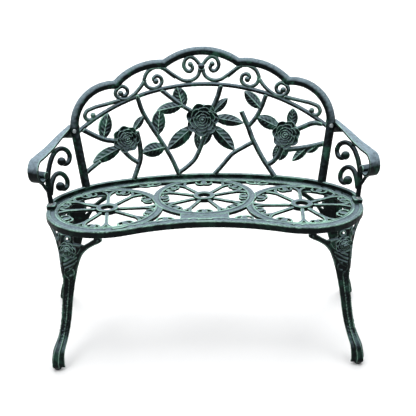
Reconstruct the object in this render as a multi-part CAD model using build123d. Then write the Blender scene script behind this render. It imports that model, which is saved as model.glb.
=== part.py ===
"""Two-seat garden bench of cast metal: a kidney-shaped pierced seat on four cabriole legs,
a bowed back with a scalloped hoop, scrolls, roses and leafy branches, and two strap arms.

Frame: +Z up, front of the bench towards -Y, origin on the ground under the middle of the
bench's box. Lengths are millimetres. Plan positions are given from the line through the
two outer seat rosettes, which lies HUB_Y from the origin.
"""
from build123d import *
from math import atan2, copysign, cos, degrees, hypot, radians, sin, sqrt, tan
import os

# ---- driving dimensions -------------------------------------------------------------------
HUB_Y = -57.4            # line through the two outer rosettes, from the origin
SEAT_TOP = 429.0         # top of the seat rim's outer bead
RIM_UNDER = 415.0        # underside of the seat rim
RIM_WIDTH = 34.0         # the band that runs round the seat
LIP_DEPTH = 6.0          # lip that hangs from the rim's outer edge
LIP_WIDTH = 6.0
HALF_SEAT = 467.0        # half the seat's width
FRONT_EDGE = -126.0      # middle of the seat's front edge
BACK_EDGE = 253.0        # middle of the seat's back edge
LOBE_X = 287.0           # centre of each front lobe's arc
LOBE_Y = -4.0
LOBE_RADIUS = 180.0
CORNER_RADIUS = 150.0    # rear outer corner of the seat
FLANK_RADIUS = 300.0     # between that corner and the back edge
BACK_EDGE_RADIUS = 812.0

SIDE_HUB = (289.0, -3.0)     # outer rosettes
SIDE_HOLE = 143.0            # radius of an outer rosette's opening
CENTRE_HUB = (0.0, 82.0)     # middle rosette
CENTRE_HOLE = 134.5
RING_WIDTH = 23.0            # band round each rosette
HUB_OUTER = 35.0
HUB_INNER = 19.0

BACK_FOOT = 241.0        # back surface at BACK_FOOT_Z, middle of the bench
BACK_FOOT_Z = 435.0
BACK_LEAN = 11.0         # degrees
BACK_BOW = 785.0         # plan radius of the back
HOOP_RADIUS = 13.5
RAIL_TOP = 443.0

LEG_ANGLE = 52.0         # plan angle of each leg's outer corner, seen from its lobe centre
REAR_LEG_ANGLE = 46.0
REAR_RAKE = 55.0         # how much further out the rear feet stand
LEG_TOP = 415.0
FLANGE = 6.0             # thickness of a leg's top flange
WALL = 7.0               # thickness of a leg's two wings
FLANGE_INNER = 138.0
FLANGE_OUTER = 172.0
FLANGE_HALF = 37.0       # degrees each side of the leg's centre plane
LEG_BOLT_REACH = 155.5
LEG_BOLT_ANGLES = (-24, 0, 24)
PLUG_REACH = 248.0       # lobe centre to a front foot's pad
KNEE_REACH = 189.0       # a leg's outer corner at the height of its rose
KNEE_ASIDE = 20.0        # the rose sits this far along the wing that faces front or back
KNEE_TURN = 24.0         # and is turned this many degrees that way
KNEE_HEIGHT = 364.0
KNEE_ROSE = 24.0
SOLE = 9.0               # ground to the leg's sole
GLIDE_RADIUS = 10.0
GLIDE_HEIGHT = 14.0

STRAP_WIDTH = 34.0
STRAP_REAR = 14.0        # its width where it meets the hoop
STRAP_THICK = 8.0
BOLT = 3.0               # shank radius of an M6 bolt
HOLE = 3.3

parts = {}


# ---- helpers ------------------------------------------------------------------------------
def biggest(shape):
    """The largest solid of a shape, as trimming may leave crumbs."""
    return max(shape.solids(), key=lambda solid: solid.volume)


def boxes_meet(one, other):
    a = one.bounding_box()
    b = other.bounding_box()
    apart_x = a.min.X > b.max.X or b.min.X > a.max.X
    apart_y = a.min.Y > b.max.Y or b.min.Y > a.max.Y
    apart_z = a.min.Z > b.max.Z or b.min.Z > a.max.Z
    return not (apart_x or apart_y or apart_z)


def trimmed(shape, neighbours):
    """The shape cut back to meet its neighbours face to face."""
    for name in neighbours:
        if boxes_meet(shape, parts[name]):
            shape = shape - parts[name]
    return biggest(shape)


def mirrored(shape):
    return mirror(shape, about=Plane.YZ)


def on_back(x, z, lift=0.0):
    """Point of the bowed, leaning back surface; lift is towards the sitter."""
    bow = BACK_BOW - sqrt(BACK_BOW ** 2 - x ** 2)
    y = HUB_Y + BACK_FOOT + (z - BACK_FOOT_Z) * tan(radians(BACK_LEAN)) - bow
    return Vector(x, y, z) + back_normal(x) * lift


def back_normal(x):
    """Unit normal of the back surface, towards the sitter."""
    slope = -x / sqrt(BACK_BOW ** 2 - x ** 2)
    return Vector(slope, -1, tan(radians(BACK_LEAN))).normalized()


def corner_radii(points):
    """The largest comfortable bend radius at each inner point of a route."""
    radii = []
    for before, here, after in zip(points, points[1:], points[2:]):
        first = here - before
        second = after - here
        turn = radians(max(first.get_angle(second), 1.0))
        radii.append(0.45 * min(first.length, second.length) / tan(turn / 2))
    return radii


def bar(points, radius, ball=0.0):
    """Round bar along a softly cornered route, with an optional ball at its far end."""
    route = FilletPolyline(*points, radius=corner_radii(points))
    solid = sweep(Plane(route @ 0, z_dir=route % 0) * Circle(radius), path=route)
    if ball:
        solid = solid + Pos(*points[-1]) * Sphere(ball)
    return solid


def back_bar(points, radius, ball=0.0):
    return bar([on_back(x, z) for x, z in points], radius, ball)


def back_plane(x, z, towards):
    """Plane lying on the back at (x, z), its X axis heading towards another point."""
    heading = on_back(*towards) - on_back(x, z)
    return Plane(origin=on_back(x, z), x_dir=heading, z_dir=back_normal(x))


def leaf(base, tip, width, thick=5.0):
    """Pointed leaf with a raised midrib, lying on the back."""
    middle = ((base[0] + tip[0]) / 2, (base[1] + tip[1]) / 2)
    half = (on_back(*tip) - on_back(*base)).length / 2
    upper = ThreePointArc((-half, 0), (0, width / 2), (half, 0))
    lower = ThreePointArc((half, 0), (0, -width / 2), (-half, 0))
    blade = extrude(make_face([upper, lower]), thick / 2, both=True)
    rib = Pos(0, 0, thick / 2) * Rot(0, 90, 0) * Cylinder(1.6, 1.7 * half)
    return back_plane(*middle, tip) * (blade + rib)


def bloom(radius):
    """Open rose facing +Z: three tiers of petals round a bud."""
    tiers = ((1.0, 9, 8.0), (0.72, 7, 13.0), (0.45, 5, 18.0))
    flower = Pos(0, 0, 9) * Sphere(radius * 0.32)
    for scale, petals, height in tiers:
        reach = radius * scale
        petal = reach * sin(radians(180 / petals)) * 1.15
        disc = Circle(reach - petal * 0.8)
        for number in range(petals):
            disc += Rot(0, 0, 360 * number / petals) * Pos(reach - petal, 0) * Circle(petal)
        flower += Pos(0, 0, -5) * extrude(disc, height)
    return flower


def rose(x, z, radius, leaves):
    """Rose lying on the back with the leaves, each base, tip and width, that spring from it."""
    flower = back_plane(x, z, (x + 10, z)) * bloom(radius)
    for base, tip, width in leaves:
        flower += leaf(base, tip, width)
    return biggest(flower)


# ---- seat ---------------------------------------------------------------------------------
def crossing(centre_a, reach_a, centre_b, reach_b):
    """The crossing of two circles that lies nearer the bench's middle front."""
    dx = centre_b[0] - centre_a[0]
    dy = centre_b[1] - centre_a[1]
    apart = hypot(dx, dy)
    along = (reach_a ** 2 - reach_b ** 2 + apart ** 2) / (2 * apart)
    aside = sqrt(reach_a ** 2 - along ** 2)
    x = centre_a[0] + (along * dx - aside * dy) / apart
    y = centre_a[1] + (along * dy + aside * dx) / apart
    return (x, y)


def seat_outline():
    """Kidney outline of tangent arcs, in plan."""
    drop = LOBE_Y - FRONT_EDGE
    front_radius = (LOBE_X ** 2 + drop ** 2 - LOBE_RADIUS ** 2) / (2 * (LOBE_RADIUS - drop))
    front_centre = (0, FRONT_EDGE - front_radius)
    front_turn = degrees(atan2(LOBE_Y - front_centre[1], LOBE_X))
    corner_centre = (HALF_SEAT - CORNER_RADIUS, LOBE_Y)
    back_centre = (0, BACK_EDGE - BACK_EDGE_RADIUS)
    flank_centre = crossing(back_centre, BACK_EDGE_RADIUS - FLANK_RADIUS,
                            corner_centre, FLANK_RADIUS - CORNER_RADIUS)
    flank_from = degrees(atan2(corner_centre[1] - flank_centre[1],
                               corner_centre[0] - flank_centre[0]))
    flank_to = degrees(atan2(flank_centre[1] - back_centre[1], flank_centre[0]))
    side = [
        CenterArc((LOBE_X, LOBE_Y), LOBE_RADIUS, 180 + front_turn, 180 - front_turn),
        CenterArc(corner_centre, CORNER_RADIUS, 0, flank_from),
        CenterArc(flank_centre, FLANK_RADIUS, flank_from, flank_to - flank_from),
    ]
    arcs = [CenterArc(front_centre, front_radius, front_turn, 180 - 2 * front_turn)]
    arcs += side
    arcs.append(CenterArc(back_centre, BACK_EDGE_RADIUS, flank_to, 180 - 2 * flank_to))
    arcs += [mirror(arc, about=Plane.YZ) for arc in side]
    return make_face(arcs)


def slab(face, bottom, top):
    """Plan face, drawn about the rosette line, as a slab between two heights."""
    return Pos(0, HUB_Y, bottom) * extrude(face, top - bottom)


def soft_top(solid, top, radius):
    """Round the edges of a slab's top face."""
    edges = [edge for edge in solid.edges() if abs(edge.center().Z - top) < 0.01]
    return fillet(edges, radius)


outline = seat_outline()
inner_edge = offset(outline, amount=-RIM_WIDTH)

rim = slab(outline - inner_edge, RIM_UNDER, SEAT_TOP - 4)
bead = slab(outline - offset(outline, amount=-13), RIM_UNDER, SEAT_TOP)
step = slab(offset(outline, amount=-18) - inner_edge, RIM_UNDER, SEAT_TOP - 1)
lip = slab(outline - offset(outline, amount=-LIP_WIDTH), RIM_UNDER - LIP_DEPTH, RIM_UNDER)
parts["seat_rim"] = rim + lip + soft_top(bead, SEAT_TOP, 4) + soft_top(step, SEAT_TOP - 1, 3)

side_disc = Pos(*SIDE_HUB) * Circle(SIDE_HOLE + RING_WIDTH)
side_hole = Pos(*SIDE_HUB) * Circle(SIDE_HOLE)
centre_disc = Pos(*CENTRE_HUB) * Circle(CENTRE_HOLE + RING_WIDTH)
centre_hole = Pos(*CENTRE_HUB) * Circle(CENTRE_HOLE)
side_ring = (side_disc - side_hole - centre_disc) & inner_edge
centre_ring = (centre_disc - centre_hole) & inner_edge
web_box = Pos(0, FRONT_EDGE) * Rectangle(140, 140)
web = (inner_edge - centre_disc - side_disc - mirrored(side_disc)) & web_box
parts["seat_front_web"] = biggest(slab(web, RIM_UNDER + 3, SEAT_TOP - 3))


def line_art(curves, width):
    """Plan strip of one width along each curve."""
    strip = trace(curves[0], width)
    for curve in curves[1:]:
        strip += trace(curve, width)
    return strip


def fleur(reach, size):
    """Three-lobed sprig pointing back from radius reach towards the hub."""
    stem = Line((reach, 0), (reach - 1.1 * size, 0))
    curls = []
    for side in (-1, 1):
        start = (reach - 0.15 * size, 0)
        middle = (reach - 1.3 * size, side * 0.85 * size)
        end = (reach - 0.55 * size, side * 1.1 * size)
        curls.append(ThreePointArc(start, middle, end))
    return line_art([stem] + curls, 5.0)


def rosette(hub, hole, angles):
    """Hub ring with spokes that fork at the band round it."""
    art = Circle(HUB_OUTER)
    fork_at = hole - 38
    for angle in angles:
        spoke = trace(Line((HUB_OUTER - 3, 0), (fork_at + 2, 0)), 9.5)
        for side in (-1, 1):
            end = (hole + 3, side * 21)
            middle = (hole - 14, side * 7)
            spoke += trace(ThreePointArc((fork_at, 0), middle, end), 8)
        art += Rot(0, 0, angle) * spoke
    art -= Circle(HUB_INNER)
    plate = slab(Pos(*hub) * art, RIM_UNDER + 3, SEAT_TOP - 3)
    boss = slab(Pos(*hub) * (Circle(HUB_OUTER) - Circle(HUB_INNER)), RIM_UNDER + 1, SEAT_TOP)
    return plate + soft_top(boss, SEAT_TOP, 3)


SIDE_SPOKES = (30, 85, 123, 178, 216, 264, 296, 356)
CENTRE_SPOKES = (21, 56, 124, 159, 209, 246, 294, 331)
RIM_AND_RINGS = ("seat_rim", "seat_ring_left", "seat_ring_right", "seat_ring_centre")



def ring(band, hub, hole, angles):
    """Band round a rosette, cast with a sprig in each gap between two spokes."""
    solid = slab(band, RIM_UNDER + 2, SEAT_TOP - 2)
    for number, angle in enumerate(angles):
        gap = (angles[(number + 1) % len(angles)] - angle) % 360
        sprig = Pos(*hub) * Rot(0, 0, angle + gap / 2) * fleur(hole + 4, 13 + 0.14 * gap)
        solid += slab(sprig & inner_edge, RIM_UNDER + 3, SEAT_TOP - 3)
    return solid


parts["seat_ring_right"] = ring(side_ring, SIDE_HUB, SIDE_HOLE, SIDE_SPOKES)
parts["seat_ring_left"] = mirrored(parts["seat_ring_right"])
parts["seat_ring_centre"] = ring(centre_ring, CENTRE_HUB, CENTRE_HOLE, CENTRE_SPOKES)

parts["seat_rosette_right"] = trimmed(rosette(SIDE_HUB, SIDE_HOLE, SIDE_SPOKES), RIM_AND_RINGS)
parts["seat_rosette_left"] = mirrored(parts["seat_rosette_right"])
parts["seat_rosette_centre"] = trimmed(rosette(CENTRE_HUB, CENTRE_HOLE, CENTRE_SPOKES), RIM_AND_RINGS)

front_sprig = Pos(112, -104) * Rot(0, 0, 270) * fleur(8, 22)
back_sprig = Pos(178, 212) * Rot(0, 0, 75) * fleur(18, 32)
for name, sprig in (("front", front_sprig), ("back", back_sprig)):
    solid = trimmed(slab(sprig, RIM_UNDER + 4, SEAT_TOP - 4), RIM_AND_RINGS)
    parts["seat_" + name + "_sprig_right"] = solid
    parts["seat_" + name + "_sprig_left"] = mirrored(solid)

# ---- back: rail, hoop and arch ------------------------------------------------------------
rail_band = offset(outline, amount=-2) - offset(outline, amount=-14)
rail_half = Pos(0, 150 - 4) * Rectangle(1200, 300)
rail = slab(rail_band & rail_half, SEAT_TOP, RAIL_TOP)
end_block = Pos(HALF_SEAT - 14, HUB_Y - 4, SEAT_TOP + 7) * Box(26, 32, 14)
end_block = fillet(end_block.edges().filter_by(Axis.Z), 5)
parts["base_rail"] = rail + end_block + mirrored(end_block)

APEX = (0, 832)
INNER_CUSP = (118, 796)
OUTER_CUSP = (272, 742)
SHOULDER = (398, 625)
HOOP_FOOT = (374, RAIL_TOP - 6)


def tube_line(start, end, radius):
    route = Line(on_back(*start), on_back(*end))
    return sweep(Plane(route @ 0, z_dir=route % 0) * Circle(radius), path=route)


def tube_arc(start, middle, end, radius):
    route = ThreePointArc(on_back(*start), on_back(*middle), on_back(*end))
    return sweep(Plane(route @ 0, z_dir=route % 0) * Circle(radius), path=route)


def flipped(point):
    return (-point[0], point[1])


hoop_half = tube_arc(INNER_CUSP, (195, 789), OUTER_CUSP, HOOP_RADIUS)
hoop_half += tube_arc(OUTER_CUSP, (366, 710), SHOULDER, HOOP_RADIUS)
hoop_half += tube_line(SHOULDER, HOOP_FOOT, HOOP_RADIUS)
for knot in (INNER_CUSP, OUTER_CUSP, SHOULDER):
    hoop_half += Pos(*on_back(*knot)) * Sphere(HOOP_RADIUS)
hoop = tube_arc(flipped(INNER_CUSP), APEX, INNER_CUSP, HOOP_RADIUS) + hoop_half + mirrored(hoop_half)
parts["back_hoop"] = trimmed(hoop, ["base_rail", "seat_rim"])

ARCH_RADIUS = 7.2
ARCH_TOP = (0, 729)
ARCH_END = (388, 613)
arch = tube_arc(flipped(ARCH_END), ARCH_TOP, ARCH_END, ARCH_RADIUS)
parts["back_arch"] = trimmed(arch, ["back_hoop"])

# ---- back: scrolls ------------------------------------------------------------------------
SCROLL = 5.3
parts["crest_ball"] = Pos(*on_back(0, 784)) * Sphere(11)
crest = [(5, 790), (20, 808), (36, 816), (52, 806), (58, 787), (48, 771), (35, 768), (26, 780), (35, 791)]
lower = [(5, 777), (8, 758), (22, 745), (42, 739), (62, 742), (90, 760), (120, 782)]
large = [(128, 786), (152, 787), (176, 772), (185, 748), (176, 728), (157, 720), (138, 724),
         (126, 740), (131, 757), (147, 761), (156, 750), (147, 743)]
small = [(180, 752), (195, 728), (215, 708), (238, 694), (262, 696), (276, 714), (268, 731),
         (250, 737), (236, 725), (237, 710), (250, 704), (258, 714)]
hook = [(262, 693), (300, 686), (338, 680), (362, 672), (369, 656), (358, 642), (344, 645), (343, 657)]
HOOP_AND_ARCH = ["back_hoop", "back_arch"]
done = ["crest_ball"]
for name, route, ball in (("crest_scroll", crest, 7.5), ("crest_tail", lower, 0), ("large_scroll", large, 8.5),
                          ("small_scroll", small, 8), ("hook_scroll", hook, 7.5)):
    solid = trimmed(back_bar(route, SCROLL, ball), HOOP_AND_ARCH + done)
    parts[name + "_right"] = solid
    parts[name + "_left"] = mirrored(solid)
    done += [name + "_right", name + "_left"]

# ---- back: roses, stems and leaves --------------------------------------------------------
parts["rose_left"] = rose(-247, 571, 40, [((-224, 596), (-188, 640), 26), ((-264, 548), (-352, 512), 41)])
parts["rose_centre"] = rose(0, 617, 50, [
    ((-30, 597), (-118, 525), 46), ((-20, 585), (-16, 520), 22), ((30, 585), (0, 533), 24),
    ((30, 598), (104, 518), 46), ((36, 624), (134, 606), 38), ((34, 638), (84, 685), 30)])
parts["rose_right"] = rose(268, 576, 42, [
    ((248, 596), (175, 628), 43), ((284, 598), (288, 660), 36), ((248, 550), (228, 494), 24),
    ((270, 550), (247, 492), 34)])
ROSES = ["rose_left", "rose_centre", "rose_right"]
FRAME = ["base_rail", "seat_rim", "back_hoop", "back_arch"]


def spray(stems, leaves, first):
    """Stems, each a radius and its route, and leaves, each base, tip and width, cast as one."""
    solid = None
    for radius, route in stems:
        stem = back_bar(route, radius)
        solid = stem if solid is None else solid + stem
    for base, tip, width in leaves:
        solid += leaf(base, tip, width)
    return trimmed(solid, first)


SPRAYS = (
    ("left_upper_spray",
     [(7.2, [(-374, 617), (-345, 596), (-315, 577), (-270, 566)])],
     [((-318, 580), (-300, 658), 41)]),
    ("left_lower_spray",
     [(7.2, [(-213, 592), (-204, 545), (-203, 505), (-228, 440)]),
      (6.4, [(-262, 542), (-236, 510), (-206, 488)])], []),
    ("left_stub",
     [(6.4, [(-380, 478), (-355, 496), (-330, 512)])], []),
    ("left_branch",
     [(6.4, [(-208, 704), (-195, 655), (-170, 610), (-125, 537), (-100, 490), (-80, 440)])],
     [((-125, 535), (-198, 523), 46), ((-147, 576), (-138, 656), 43)]),
    ("centre_left_spray",
     [(6.4, [(-130, 715), (-105, 694), (-84, 678), (-60, 660), (-30, 642)])],
     [((-62, 657), (-80, 722), 46), ((-66, 664), (-148, 651), 36)]),
    ("centre_stem",
     [(6.4, [(8, 588), (0, 547), (-14, 515), (-27, 490), (-54, 466), (-84, 447)])], []),
    ("centre_right_spray",
     [(7.2, [(62, 724), (52, 690), (30, 645)])], []),
    ("right_branch",
     [(7.2, [(127, 643), (150, 590), (160, 560), (190, 500), (232, 440)]),
      (6.4, [(205, 696), (190, 655), (172, 622), (146, 594)]),
      (6.4, [(166, 548), (130, 528), (95, 508), (62, 468), (36, 441)])],
     [((188, 655), (138, 706), 36)]),
    ("right_upper_spray",
     [(7.2, [(290, 590), (318, 604), (346, 620), (375, 620)])], []),
    ("right_lower_stem",
     [(7.2, [(256, 540), (245, 510), (225, 485), (204, 474)])], []),
    ("right_lower_spray",
     [(7.2, [(384, 562), (345, 547), (310, 537), (262, 527)])],
     [((333, 543), (287, 495), 26), ((365, 556), (332, 526), 22)]),
)
earlier = FRAME + ROSES + ["hook_scroll_left", "hook_scroll_right", "small_scroll_left", "small_scroll_right"]
for name, stems, leaves in SPRAYS:
    parts[name] = spray(stems, leaves, earlier)
    earlier = earlier + [name]

# ---- arms ---------------------------------------------------------------------------------
ARM_FOOT = Vector(457, HUB_Y - 3, SEAT_TOP + 3)
ARM_TOP = Vector(397, HUB_Y + 175, 616)
ARM_FRONT = Vector(500, HUB_Y - 15, 575)
arm_normal = (ARM_TOP - ARM_FOOT).cross(ARM_FRONT - ARM_FOOT).normalized()
arm_level = Vector(-arm_normal.Y, arm_normal.X, 0).normalized()
if arm_level.Y < 0:
    arm_level = -arm_level
ARM_PLANE = Plane(origin=ARM_FOOT, x_dir=arm_level, z_dir=arm_normal)
UP = 1 if ARM_PLANE.y_dir.Z > 0 else -1


def on_arm(along, above):
    """Point of the right arm's plane: rearward distance and height from its foot."""
    return ARM_PLANE.from_local_coords(Vector(along, UP * above, 0))


def arm_bar(points, radius, ball=0.0):
    return bar([on_arm(along, above) for along, above in points], radius, ball)


# The strap swings wider than the scroll under it, in an upright plane of its own that passes
# outside the hoop. Its points are the distance back from the strap's front, and the height.
STRAP_FRONT = Vector(484, HUB_Y - 19.7, 0)
STRAP_HEADING = Vector(-0.328, 0.945, 0).normalized()
STRAP_SIDE = Vector(STRAP_HEADING.Y, -STRAP_HEADING.X, 0)
STRAP_PLANE = Plane(origin=STRAP_FRONT, x_dir=STRAP_HEADING, z_dir=STRAP_SIDE)
BOLT_AT = on_back(396.5, 620)
LUG = 8.0
lug_y = BOLT_AT.Y + HOOP_RADIUS + LUG / 2
strap_end = (lug_y - STRAP_FRONT.Y) / STRAP_HEADING.Y
strap_points = [(strap_end, 629), (165, 617), (128, 607), (81, 593), (31, 584), (3, 580), (-10, 564),
                (-14, 542), (-5, 522), (12, 514), (27, 522), (29, 536)]
strap_radii = corner_radii([Vector(*point) for point in strap_points])
strap_route = FilletPolyline(*strap_points, radius=strap_radii)
strap = extrude(trace(strap_route, STRAP_THICK), STRAP_WIDTH / 2, both=True)
strap += Pos(29, 530) * Cylinder(11, STRAP_WIDTH)
taper = Polyline((-40, STRAP_WIDTH / 2), (40, STRAP_WIDTH / 2), (strap_end + 9, STRAP_REAR / 2),
                 (strap_end + 9, -STRAP_REAR / 2), (40, -STRAP_WIDTH / 2), (-40, -STRAP_WIDTH / 2), close=True)
strap_floor = Plane(origin=STRAP_FRONT, x_dir=STRAP_HEADING, z_dir=(0, 0, 1))
strap = STRAP_PLANE * strap & strap_floor * extrude(make_face(taper), 800)
lug_from = BOLT_AT.X - 11
lug_to = STRAP_FRONT.X + STRAP_HEADING.X * strap_end + STRAP_REAR / 2
lug = Pos((lug_from + lug_to) / 2, lug_y, 618) * Box(lug_to - lug_from, LUG, 28)
gusset = make_face(Polyline((148, 609), (strap_end, 624), (strap_end, 590), close=True))
gusset = STRAP_PLANE * extrude(gusset, 3.5, both=True)
parts["arm_strap_right"] = trimmed(strap + lug + gusset, ["back_hoop", "back_arch"])

stem = [(6, 0), (8, 30), (13, 62), (24, 92), (40, 118), (60, 140), (84, 153), (108, 153), (128, 140),
        (133, 120), (120, 104), (101, 103), (92, 115)]
curl = [(14, 34), (30, 66), (48, 84), (70, 86), (88, 74), (96, 54), (88, 36), (70, 33), (60, 46)]
scroll = arm_bar(stem, 7, 13) + arm_bar(curl, 7, 13.5)
scroll += arm_bar([(72, 146), (66, 158), (62, 172)], 6)
scroll += arm_bar([(9, 44), (2, 58), (-6, 76), (-14, 84)], 4.5)
parts["arm_scroll_right"] = trimmed(scroll, ["arm_strap_right", "base_rail", "seat_rim"])
for name in ("arm_strap", "arm_scroll"):
    parts[name + "_left"] = mirrored(parts[name + "_right"])

# ---- legs ---------------------------------------------------------------------------------
# Height, distance of the outer corner from the lobe centre, wing length, wing angle from
# the leg's centre plane.
LEG_SECTIONS = (
    (SOLE, 264, 34, 45),
    (24, 267, 35, 45),
    (40, 263, 33, 45),
    (60, 256, 31, 45),
    (80, 243, 29, 45),
    (105, 230, 28, 45),
    (150, 216, 29, 45),
    (200, 206, 30, 45),
    (240, 198, 32, 46),
    (270, 194, 36, 48),
    (300, 193, 43, 51),
    (330, 193, 53, 54),
    (352, 192, 64, 57),
    (370, 190, 80, 60),
    (384, 188, 100, 63),
    (392, 186, 114, 65),
    (LEG_TOP - FLANGE, 184, 116, 66),
)


def wing_section(height, reach, wing, angle, side):
    """Plan section of one of a leg's two wings, which runs from the leg's outer corner."""
    a = radians(angle)
    tip = (reach - wing * cos(a), side * wing * sin(a))
    heel = (tip[0] - WALL * sin(a), tip[1] - side * WALL * cos(a))
    points = [(reach, 0), tip, heel, (reach - WALL / sin(a), 0)]
    return Pos(0, 0, height) * make_face(Polyline(*points, close=True))


def outward(angle, reach, aside=0.0):
    """Plan point at a distance along, and to the left of, a heading from the origin."""
    a = radians(angle)
    return (reach * cos(a) - aside * sin(a), reach * sin(a) + aside * cos(a))


# Openings in each wing between its column, its bracket and its flange: distance from the
# leg's corner, and height.
GAP_OVER = ((37, 385), (35, 404), (103, 405), (84, 392), (66, 380))
GAP_UNDER = ((34, 345), (33, 375), (57, 373), (45, 354))


def leg_local(rake):
    """Leg with its lobe centre on the Z axis and its corner along +X; rake is extra splay."""
    wings = []
    for side in (-1, 1):
        sections = []
        for height, reach, wing, angle in LEG_SECTIONS:
            splay = rake * (1 - height / LEG_TOP)
            sections.append(wing_section(height, reach + splay, wing, angle, side))
        wings.append(loft(sections))
    body = wings[0] + wings[1]
    sector = make_face(Polyline((0, 0), outward(FLANGE_HALF, 220), outward(-FLANGE_HALF, 220), close=True))
    band = (Circle(FLANGE_OUTER) - Circle(FLANGE_INNER)) & sector
    flange = Pos(0, 0, LEG_TOP - FLANGE) * extrude(band, FLANGE)
    foot = rake + PLUG_REACH
    sole = Polyline((foot + 9, 0), (foot - 12, 16), (foot - 12, -16), close=True)
    body += flange + Pos(0, 0, SOLE) * extrude(make_face(sole), 10)
    for side in (-1, 1):
        wing = Plane(origin=(187, 0, 0), x_dir=(-cos(radians(62)), side * sin(radians(62)), 0),
                     z_dir=(sin(radians(62)), side * cos(radians(62)), 0))
        rise = 1 if wing.y_dir.Z > 0 else -1
        over = make_face(Polyline(*[(u, rise * z) for u, z in GAP_OVER], close=True))
        under = make_face(Polyline(*[(u, rise * z) for u, z in GAP_UNDER], close=True))
        eye = Pos(16, rise * 398) * Circle(5.5)
        body -= wing * extrude(over + under + eye, 40, both=True)
    for angle in LEG_BOLT_ANGLES:
        body -= Pos(*outward(angle, LEG_BOLT_REACH), LEG_TOP - FLANGE) * Cylinder(HOLE, 30)
    body -= Pos(foot, 0, GLIDE_HEIGHT) * Cylinder(4.3, 30)
    return biggest(body)


def glide_local(rake):
    """Round foot pad with a spigot that pushes up into the sole."""
    pad = Pos(0, 0, SOLE / 2) * Cylinder(GLIDE_RADIUS, SOLE)
    pad = fillet(pad.edges().sort_by(Axis.Z)[0], 2)
    spigot = Pos(0, 0, SOLE + 4) * Cylinder(4, 8)
    return Pos(rake + PLUG_REACH, 0, 0) * (pad + spigot)


def leg_bolt(at):
    """Hex-headed bolt pushed up through the flange into the rim."""
    head = Pos(0, 0, LEG_TOP - FLANGE - 4) * extrude(RegularPolygon(5.8, 6), 4)
    shank = Pos(0, 0, LEG_TOP - FLANGE) * extrude(Circle(BOLT), FLANGE + 7)
    return Pos(at[0], at[1], 0) * (head + shank)


LEGS = (("front", -LEG_ANGLE, 0.0), ("rear", REAR_LEG_ANGLE, REAR_RAKE))
leg_bolts = []
glides = []
for row, angle, rake in LEGS:
    place = Pos(LOBE_X, HUB_Y + LOBE_Y, 0) * Rot(0, 0, angle)
    parts[row + "_leg_right"] = trimmed(place * leg_local(rake), ["seat_rim"])
    corner = KNEE_REACH + rake * (1 - KNEE_HEIGHT / LEG_TOP)
    face = radians(KNEE_TURN if angle > 0 else -KNEE_TURN)
    along = (corner - KNEE_ASIDE * cos(radians(62)), copysign(KNEE_ASIDE, face) * sin(radians(62)))
    knee = Plane(origin=(along[0], along[1], KNEE_HEIGHT), x_dir=(-sin(face), cos(face), 0),
                 z_dir=(cos(face), sin(face), 0))
    flower = biggest(place * (knee * bloom(KNEE_ROSE)) - parts[row + "_leg_right"])
    parts[row + "_leg_rose_right"] = flower
    glides.append(place * glide_local(rake))
    for bolt_angle in LEG_BOLT_ANGLES:
        leg_bolts.append(place * leg_bolt(outward(bolt_angle, LEG_BOLT_REACH)))
    for name in ("_leg", "_leg_rose"):
        parts[row + name + "_left"] = mirrored(parts[row + name + "_right"])


# ---- fasteners ----------------------------------------------------------------------------
def both_sides(solids):
    return solids + [mirrored(solid) for solid in solids]


def drilled(name, tools):
    for tool in tools:
        if boxes_meet(parts[name], tool):
            parts[name] = parts[name] - tool
    parts[name] = biggest(parts[name])


def vertical_hole(x, y, bottom, top, radius):
    return Pos(x, HUB_Y + y, (bottom + top) / 2) * Cylinder(radius, top - bottom)


leg_holes = []
for row, angle, rake in LEGS:
    for bolt_angle in LEG_BOLT_ANGLES:
        x, y = outward(angle + bolt_angle, LEG_BOLT_REACH)
        leg_holes.append(vertical_hole(LOBE_X + x, LOBE_Y + y, RIM_UNDER - 1, RIM_UNDER + 8, HOLE))

# A cap bolt through each end block and the rim, with a washer and nut underneath.
foot_bolts = []
foot_nuts = []
foot_washers = []
foot_holes = []
x, y = HALF_SEAT - 14, -14
foot_holes.append(vertical_hole(x, y, RIM_UNDER - 1, SEAT_TOP + 15, 4.3))
recesses = [vertical_hole(x, y, RIM_UNDER - LIP_DEPTH - 1, RIM_UNDER, 9.5)]
head = soft_top(vertical_hole(x, y, SEAT_TOP + 14, SEAT_TOP + 19, 7), SEAT_TOP + 19, 3)
foot_bolts.append(head + vertical_hole(x, y, RIM_UNDER - 11, SEAT_TOP + 14, 4))
foot_washers.append(vertical_hole(x, y, RIM_UNDER - 1.6, RIM_UNDER, 8.5) - vertical_hole(x, y, 400, 430, 4.3))
nut = Pos(x, HUB_Y + y, RIM_UNDER - 8) * extrude(RegularPolygon(7.5, 6) - Circle(4), 6.4)
foot_nuts.append(nut)

# Screws that hold the back's rail down, up through the rim from below.
rail_screws = []
rail_holes = []
for x in (95, 250):
    y = BACK_EDGE - BACK_EDGE_RADIUS + sqrt((BACK_EDGE_RADIUS - 8) ** 2 - x ** 2)
    rail_holes.append(vertical_hole(x, y, RIM_UNDER - 1, RAIL_TOP - 4, HOLE))
    head = Pos(x, HUB_Y + y, RIM_UNDER - 4) * extrude(RegularPolygon(5.8, 6), 4)
    rail_screws.append(head + vertical_hole(x, y, RIM_UNDER, RAIL_TOP - 5, BOLT))
    recesses.append(vertical_hole(x, y, RIM_UNDER - LIP_DEPTH - 1, RIM_UNDER, 7))

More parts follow.
